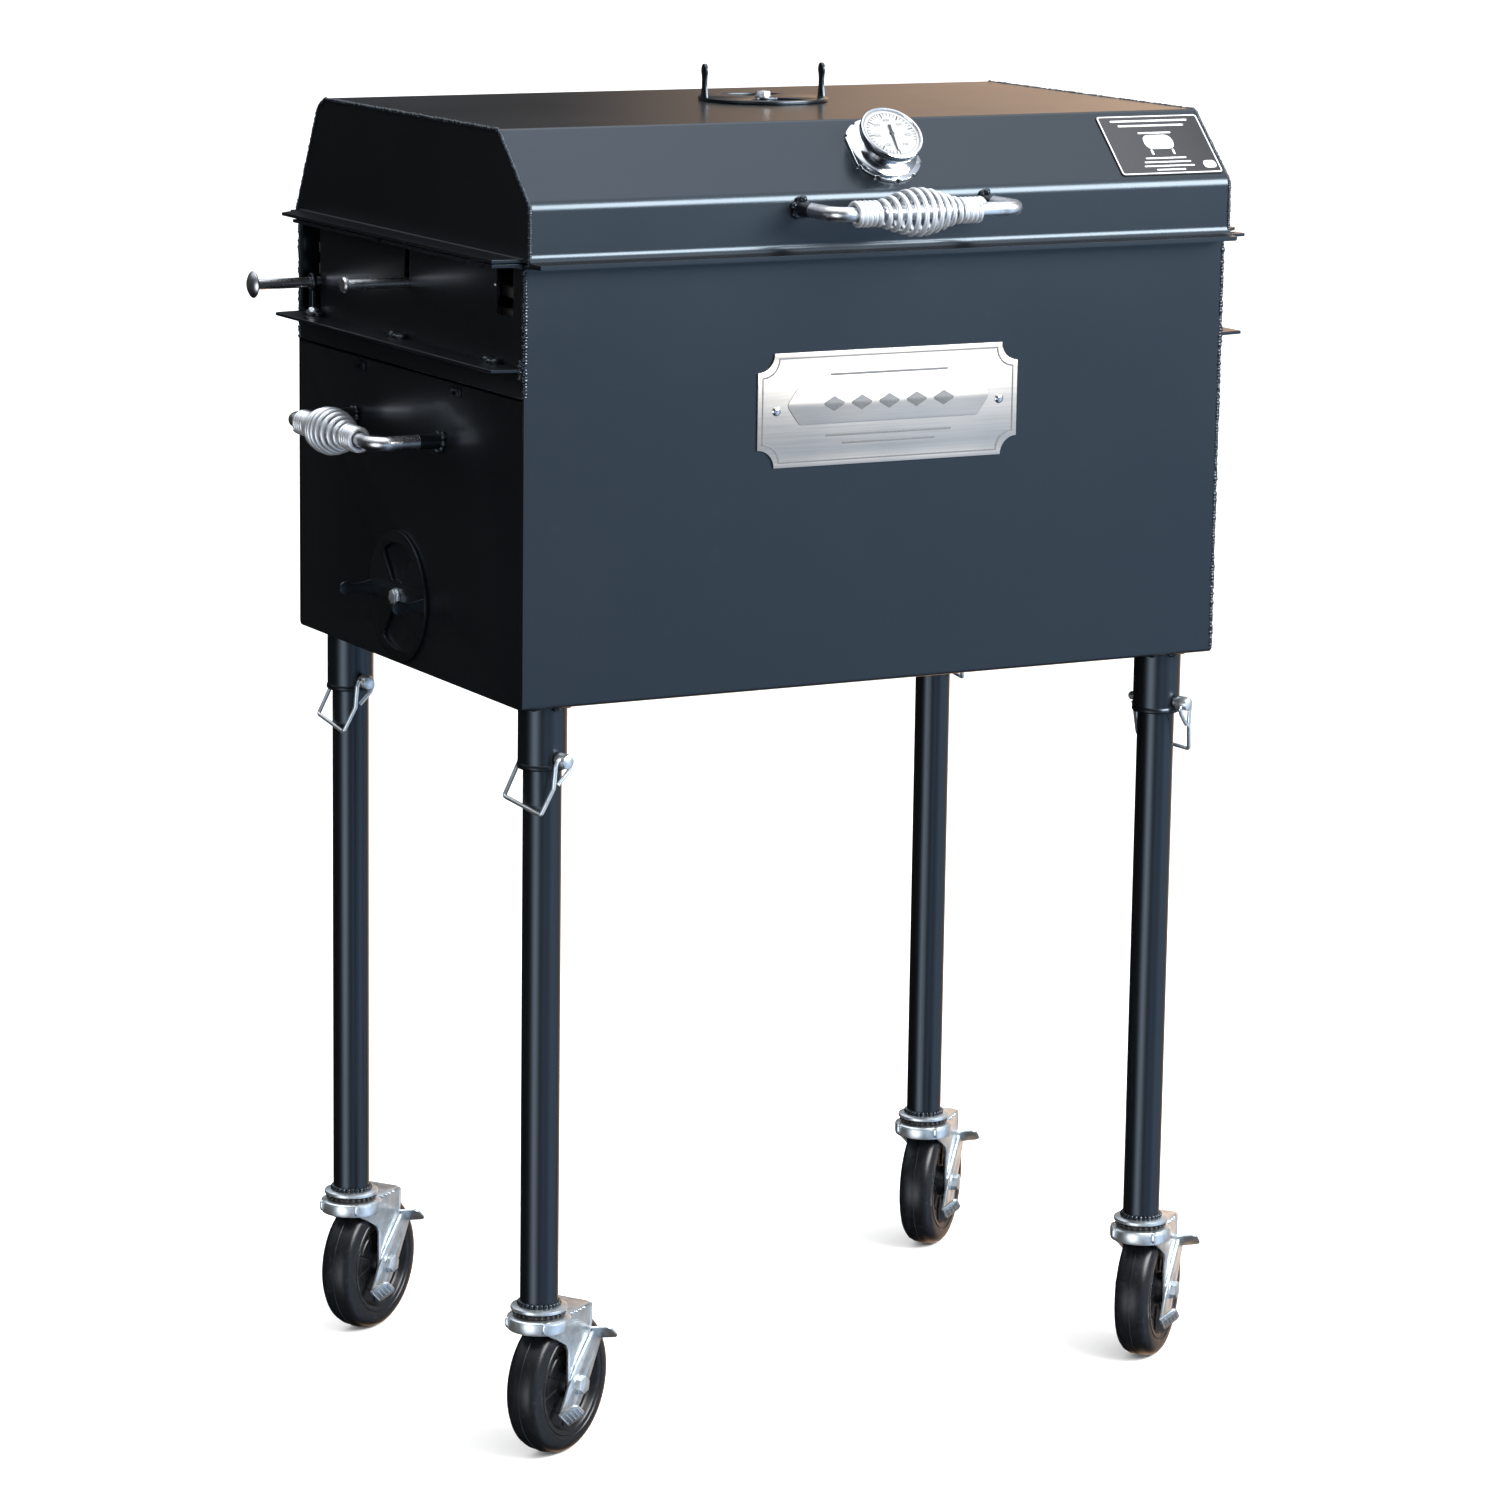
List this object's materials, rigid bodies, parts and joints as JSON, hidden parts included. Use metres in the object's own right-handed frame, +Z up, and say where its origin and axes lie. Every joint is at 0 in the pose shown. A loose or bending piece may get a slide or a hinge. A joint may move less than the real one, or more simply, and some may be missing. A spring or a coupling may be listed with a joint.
{
  "type": "charcoal cooker",
  "caption": "Black sheet-steel charcoal cooker with a hinged lid, a tilting cooking grate on an axle and a pull-out charcoal drawer, on removable pipe legs with braked casters.",
  "frame": {"origin": "on the floor, under the middle of the overall box", "axes": "+Z up, front faces -Y, the charcoal drawer pulls out towards -X"},
  "size_m": [0.8312, 0.6018, 1.1846],
  "materials": {
    "black_paint": "satin black paint",
    "pan_paint": "matte black heat paint",
    "charcoal_grate_steel": "bare hot-rolled steel",
    "bare_steel": "bright drawn steel",
    "zinc_plate": "bright zinc plate",
    "grate_steel": "stainless steel",
    "wheel_rubber": "hard rubber",
    "brushed_plate": "brushed",
    "dial_metal": "polished stainless",
    "needle_paint": "black",
    "dial_glass": "clear",
    "label_black": "satin"
  },
  "bodies": {
    "cooker_body": {"body_shell": "black_paint", "left_end_panel": "black_paint", "right_end_panel": "black_paint", "nameplate": "brushed_plate", "hinge_strip_body": "black_paint", "hinge_rod": "zinc_plate", "leg_socket_front_left": "black_paint", "leg_socket_front_right": "black_paint", "leg_socket_rear_left": "black_paint", "leg_socket_rear_right": "black_paint", "leg_front_left": "black_paint", "leg_front_right": "black_paint", "leg_rear_left": "black_paint", "leg_rear_right": "black_paint"},
    "lid": {"lid_shell": "black_paint", "hinge_strip_lid": "black_paint", "lid_handle": "bare_steel", "lid_grip_spring": "bare_steel", "thermometer_case": "dial_metal", "thermometer_glass": "dial_glass", "label_plate": "label_black", "lid_vent_bolt": "zinc_plate"},
    "thermometer_needle": {"thermometer_needle": "needle_paint"},
    "lid_vent": {"lid_vent_damper": "black_paint"},
    "charcoal_drawer": {"drawer_front": "black_paint", "charcoal_pan": "pan_paint", "charcoal_grate": "charcoal_grate_steel", "drawer_handle": "bare_steel", "drawer_grip_spring": "bare_steel", "drawer_damper_bolt": "zinc_plate"},
    "drawer_damper": {"drawer_damper": "black_paint"},
    "cooking_grate": {"grate_lower": "grate_steel", "grate_upper": "grate_steel", "grate_axle": "bare_steel"},
    "grate_lock_rod": {"grate_lock_rod": "bare_steel"},
    "lock_pin_front_left": {"lock_pin_front_left": "zinc_plate", "pin_bail_front_left": "zinc_plate"},
    "caster_front_left": {"caster_fork_front_left": "zinc_plate", "axle_bolt_front_left": "zinc_plate"},
    "wheel_front_left": {"wheel_front_left": "wheel_rubber"},
    "brake_front_left": {"brake_lever_front_left": "zinc_plate"},
    "lock_pin_front_right": {"lock_pin_front_right": "zinc_plate", "pin_bail_front_right": "zinc_plate"},
    "caster_front_right": {"caster_fork_front_right": "zinc_plate", "axle_bolt_front_right": "zinc_plate"},
    "wheel_front_right": {"wheel_front_right": "wheel_rubber"},
    "brake_front_right": {"brake_lever_front_right": "zinc_plate"},
    "lock_pin_rear_left": {"lock_pin_rear_left": "zinc_plate", "pin_bail_rear_left": "zinc_plate"},
    "caster_rear_left": {"caster_fork_rear_left": "zinc_plate", "axle_bolt_rear_left": "zinc_plate"},
    "wheel_rear_left": {"wheel_rear_left": "wheel_rubber"},
    "brake_rear_left": {"brake_lever_rear_left": "zinc_plate"},
    "lock_pin_rear_right": {"lock_pin_rear_right": "zinc_plate", "pin_bail_rear_right": "zinc_plate"},
    "caster_rear_right": {"caster_fork_rear_right": "zinc_plate", "axle_bolt_rear_right": "zinc_plate"},
    "wheel_rear_right": {"wheel_rear_right": "wheel_rubber"},
    "brake_rear_right": {"brake_lever_rear_right": "zinc_plate"}
  },
  "joints": [
    {"name": "lid_hinge", "type": "hinge", "parent": "cooker_body", "child": "lid", "pos_m": [0.01124, 0.29289, 1.0449], "axis": [-1, 0, 0], "range_deg": [0, 95]},
    {"name": "lid_vent_turn", "type": "hinge", "parent": "lid", "child": "lid_vent", "pos_m": [0.03124, 0.05159, 1.1513], "axis": [0, 0, 1], "range_deg": [0, 90]},
    {"name": "thermometer_needle_sweep", "type": "hinge", "parent": "lid", "child": "thermometer_needle", "pos_m": [0.01924, -0.1845, 1.12544], "axis": [0, 0.6986, -0.7155], "range_deg": [0, 270]},
    {"name": "charcoal_drawer_slide", "type": "slide", "parent": "cooker_body", "child": "charcoal_drawer", "axis": [-1, 0, 0], "range_m": [0, 0.6]},
    {"name": "drawer_damper_turn", "type": "hinge", "parent": "charcoal_drawer", "child": "drawer_damper", "pos_m": [-0.33216, 0.03519, 0.73], "axis": [-1, 0, 0], "range_deg": [0, 90]},
    {"name": "cooking_grate_tilt", "type": "hinge", "parent": "cooker_body", "child": "cooking_grate", "pos_m": [0.01124, 0.02159, 1.006], "axis": [1, 0, 0], "range_deg": [0, 30]},
    {"name": "grate_lock_rod_slide", "type": "slide", "parent": "cooker_body", "child": "grate_lock_rod", "axis": [-1, 0, 0], "range_m": [0, 0.027]},
    {"name": "bail_swing_front_left", "type": "hinge", "parent": "cooker_body", "child": "lock_pin_front_left", "pos_m": [-0.29676, -0.17641, 0.624], "axis": [-0.2079, 0.9781, 0], "range_deg": [0, 100]},
    {"name": "caster_swivel_front_left", "type": "hinge", "parent": "cooker_body", "child": "caster_front_left", "pos_m": [-0.29676, -0.17641, 0.11], "axis": [0, 0, 1], "continuous": true},
    {"name": "wheel_roll_front_left", "type": "hinge", "parent": "caster_front_left", "child": "wheel_front_left", "pos_m": [-0.27118, -0.16074, 0.0635], "axis": [-0.5225, 0.8526, 0], "continuous": true},
    {"name": "brake_press_front_left", "type": "hinge", "parent": "caster_front_left", "child": "brake_front_left", "pos_m": [-0.27118, -0.16074, 0.0635], "axis": [-0.5225, 0.8526, 0], "range_deg": [0, 12]},
    {"name": "bail_swing_front_right", "type": "hinge", "parent": "cooker_body", "child": "lock_pin_front_right", "pos_m": [0.31924, -0.17641, 0.624], "axis": [0.3746, -0.9272, 0], "range_deg": [0, 100]},
    {"name": "caster_swivel_front_right", "type": "hinge", "parent": "cooker_body", "child": "caster_front_right", "pos_m": [0.31924, -0.17641, 0.11], "axis": [0, 0, 1], "continuous": true},
    {"name": "wheel_roll_front_right", "type": "hinge", "parent": "caster_front_right", "child": "wheel_front_right", "pos_m": [0.34188, -0.15673, 0.0635], "axis": [-0.6561, 0.7547, 0], "continuous": true},
    {"name": "brake_press_front_right", "type": "hinge", "parent": "caster_front_right", "child": "brake_front_right", "pos_m": [0.34188, -0.15673, 0.0635], "axis": [-0.6561, 0.7547, 0], "range_deg": [0, 12]},
    {"name": "bail_swing_rear_left", "type": "hinge", "parent": "cooker_body", "child": "lock_pin_rear_left", "pos_m": [-0.29676, 0.21959, 0.624], "axis": [-0.0698, 0.9976, 0], "range_deg": [0, 100]},
    {"name": "caster_swivel_rear_left", "type": "hinge", "parent": "cooker_body", "child": "caster_rear_left", "pos_m": [-0.29676, 0.21959, 0.11], "axis": [0, 0, 1], "continuous": true},
    {"name": "wheel_roll_rear_left", "type": "hinge", "parent": "caster_rear_left", "child": "wheel_rear_left", "pos_m": [-0.27189, 0.23636, 0.0635], "axis": [-0.5592, 0.829, 0], "continuous": true},
    {"name": "brake_press_rear_left", "type": "hinge", "parent": "caster_rear_left", "child": "brake_rear_left", "pos_m": [-0.27189, 0.23636, 0.0635], "axis": [-0.5592, 0.829, 0], "range_deg": [0, 12]},
    {"name": "bail_swing_rear_right", "type": "hinge", "parent": "cooker_body", "child": "lock_pin_rear_right", "pos_m": [0.31924, 0.21959, 0.624], "axis": [0, -1, 0], "range_deg": [0, 100]},
    {"name": "caster_swivel_rear_right", "type": "hinge", "parent": "cooker_body", "child": "caster_rear_right", "pos_m": [0.31924, 0.21959, 0.11], "axis": [0, 0, 1], "continuous": true},
    {"name": "wheel_roll_rear_right", "type": "hinge", "parent": "caster_rear_right", "child": "wheel_rear_right", "pos_m": [0.34118, 0.24005, 0.0635], "axis": [-0.682, 0.7314, 0], "continuous": true},
    {"name": "brake_press_rear_right", "type": "hinge", "parent": "caster_rear_right", "child": "brake_rear_right", "pos_m": [0.34118, 0.24005, 0.0635], "axis": [-0.682, 0.7314, 0], "range_deg": [0, 12]}
  ]
}
